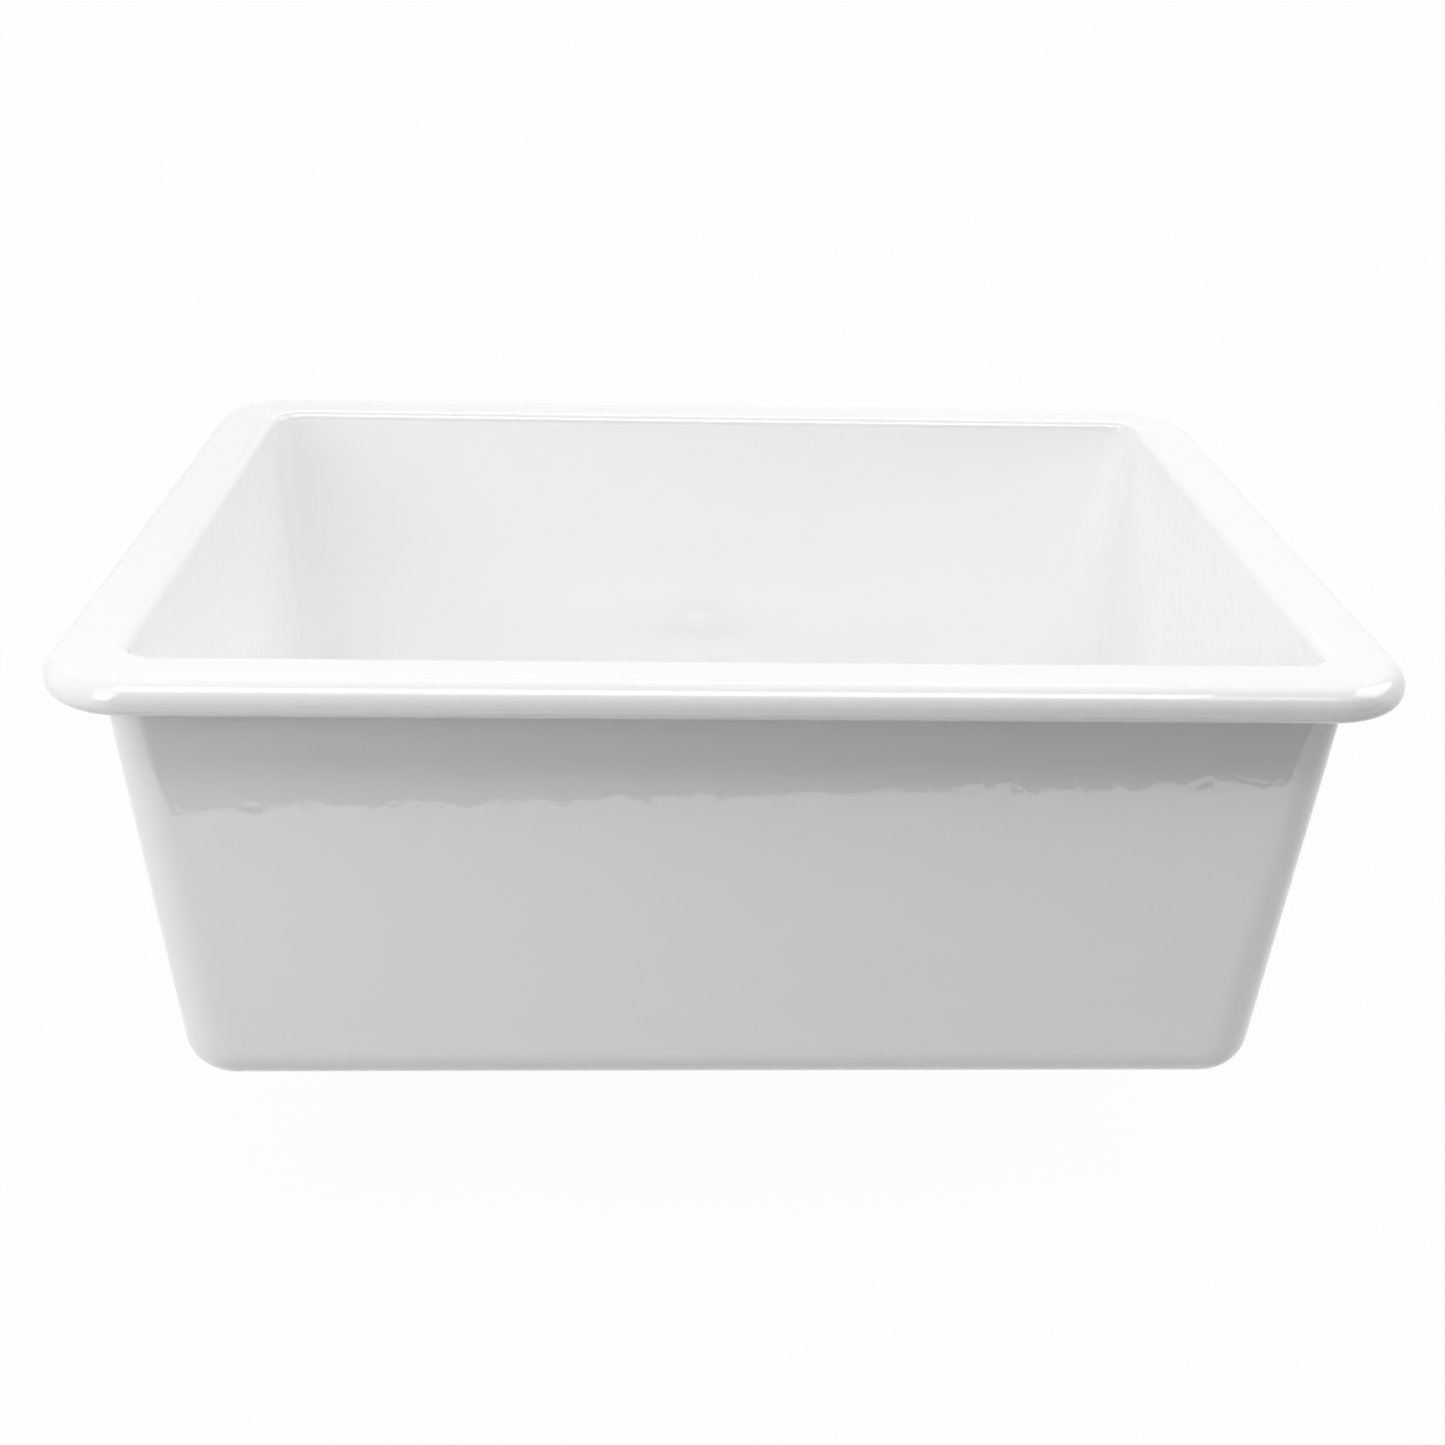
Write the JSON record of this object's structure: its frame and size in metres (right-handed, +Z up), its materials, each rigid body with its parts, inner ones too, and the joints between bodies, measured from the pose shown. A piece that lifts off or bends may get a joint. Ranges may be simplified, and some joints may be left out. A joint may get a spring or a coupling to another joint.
{
  "type": "fireclay kitchen sink",
  "caption": "White glazed fireclay kitchen sink: a deep rectangular bowl with a rolled rim that hangs in a worktop cut-out, with a lift-out basket strainer waste and tailpiece.",
  "frame": {"origin": "the middle of the worktop cut-out, level with the rim's underside, on the drain's axis", "axes": "+X along the sink's length, to the right as seen from the front; +Y to the back; +Z up, out of the bowl"},
  "size_m": [0.6858, 0.508, 0.3869],
  "materials": {
    "glazed_fireclay": "gloss white glaze",
    "steel": "brushed stainless steel",
    "knob_steel": "polished stainless steel",
    "seal": "grey sealing ring",
    "gasket_rubber": "matt black rubber",
    "fibre": "pressed fibre",
    "nut_brass": "cast brass",
    "washer_plastic": "soft white plastic",
    "outlet_chrome": "chrome plate",
    "bush_plastic": "moulded acetal"
  },
  "bodies": {
    "basin": {"fireclay_basin": "glazed_fireclay", "strainer_body": "steel", "flange_seal": "seal", "base_gasket": "gasket_rubber", "friction_washer": "fibre", "lock_nut": "nut_brass", "outlet_washer": "washer_plastic", "coupling_nut": "outlet_chrome", "tailpiece": "outlet_chrome"},
    "basket": {"basket_cup": "steel", "basket_bush": "bush_plastic", "detent_ring": "steel"},
    "stopper": {"stopper_spindle": "steel", "lift_knob": "knob_steel", "stopper_plate": "steel", "stopper_disc": "gasket_rubber", "stopper_washer": "steel", "stopper_nut": "steel"}
  },
  "joints": [
    {"name": "basket_lift", "type": "slide", "parent": "basin", "child": "basket", "axis": [0, 0, 1], "range_m": [0, 0.3]},
    {"name": "stopper_lift", "type": "slide", "parent": "basket", "child": "stopper", "axis": [0, 0, 1], "range_m": [0, 0.008]}
  ]
}
